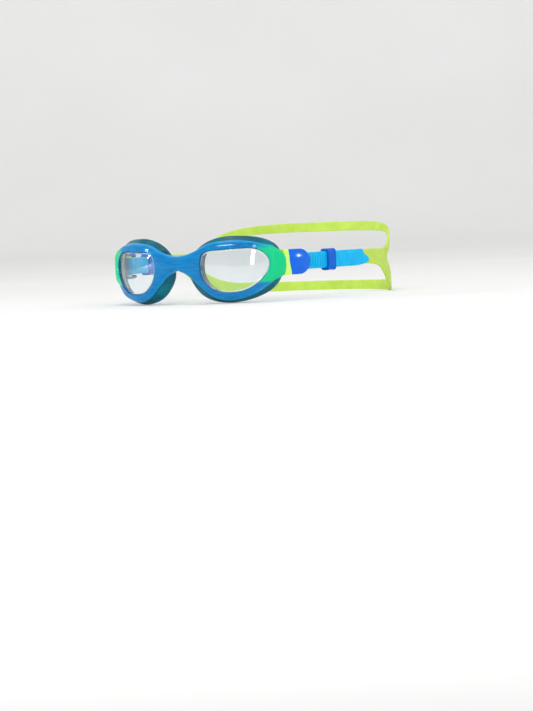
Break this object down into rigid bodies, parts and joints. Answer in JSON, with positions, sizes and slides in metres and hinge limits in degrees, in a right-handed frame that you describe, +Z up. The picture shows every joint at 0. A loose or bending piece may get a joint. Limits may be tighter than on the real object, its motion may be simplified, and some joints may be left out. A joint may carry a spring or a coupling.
{
  "type": "swim goggles",
  "caption": "Swim goggles with a one-piece soft frame, clear curved lenses, face seals, quick-release strap levers and a split silicone strap that goes round the head.",
  "frame": {"origin": "middle of the base, half way along the depth", "axes": "+X to the wearer's left, +Y from the lenses to the back of the head, +Z up"},
  "size_m": [0.141, 0.199, 0.042],
  "materials": {
    "frame_elastomer": "semi-gloss translucent blue thermoplastic elastomer",
    "lens_polycarbonate": "clear polished polycarbonate",
    "seal_silicone": "satin translucent teal silicone",
    "lime_plastic": "satin moulded lime plastic",
    "steel": "plain drawn stainless steel",
    "cobalt_plastic": "glossy moulded cobalt-blue plastic",
    "cyan_silicone": "satin cyan silicone",
    "keeper_rubber": "satin dark blue silicone",
    "lime_silicone": "satin lime silicone"
  },
  "bodies": {
    "goggles": {"frame": "frame_elastomer", "lens_left": "lens_polycarbonate", "face_seal_left": "seal_silicone", "temple_yoke_left": "lime_plastic", "strap_bar_left": "steel", "lever_pin_left": "steel", "strap_end_left": "cyan_silicone", "strap_side_left": "lime_silicone", "lens_right": "lens_polycarbonate", "face_seal_right": "seal_silicone", "temple_yoke_right": "lime_plastic", "strap_bar_right": "steel", "lever_pin_right": "steel", "strap_end_right": "cyan_silicone", "strap_side_right": "lime_silicone"},
    "lever_left": {"strap_lever_left": "cobalt_plastic"},
    "lever_right": {"strap_lever_right": "cobalt_plastic"},
    "keeper_left": {"strap_keeper_left": "keeper_rubber"},
    "keeper_right": {"strap_keeper_right": "keeper_rubber"},
    "upper_band": {"strap_upper_band": "lime_silicone"},
    "lower_band": {"strap_lower_band": "lime_silicone"}
  },
  "joints": [
    {"name": "lever_left_lift", "type": "hinge", "parent": "goggles", "child": "lever_left", "pos_m": [0.05673, -0.06339, 0.0224], "axis": [0.0302, 0.171, -0.9848], "range_deg": [0, 30]},
    {"name": "lever_right_lift", "type": "hinge", "parent": "goggles", "child": "lever_right", "pos_m": [-0.05673, -0.06339, 0.0224], "axis": [0.0302, -0.171, 0.9848], "range_deg": [0, 30]},
    {"name": "keeper_left_slide", "type": "slide", "parent": "goggles", "child": "keeper_left", "axis": [0.1736, 0.9848, 0], "range_m": [-0.015, 0.018]},
    {"name": "keeper_right_slide", "type": "slide", "parent": "goggles", "child": "keeper_right", "axis": [-0.1736, 0.9848, 0], "range_m": [-0.015, 0.018]},
    {"name": "upper_band_flex", "type": "hinge", "parent": "goggles", "child": "upper_band", "pos_m": [0, 0.04814, 0.0265], "axis": [1, 0, 0], "range_deg": [-15, 30], "stiffness_Nm_per_rad": 0.12},
    {"name": "lower_band_flex", "type": "hinge", "parent": "goggles", "child": "lower_band", "pos_m": [0, 0.04714, 0.0119], "axis": [1, 0, 0], "range_deg": [-25, 12], "stiffness_Nm_per_rad": 0.12}
  ]
}
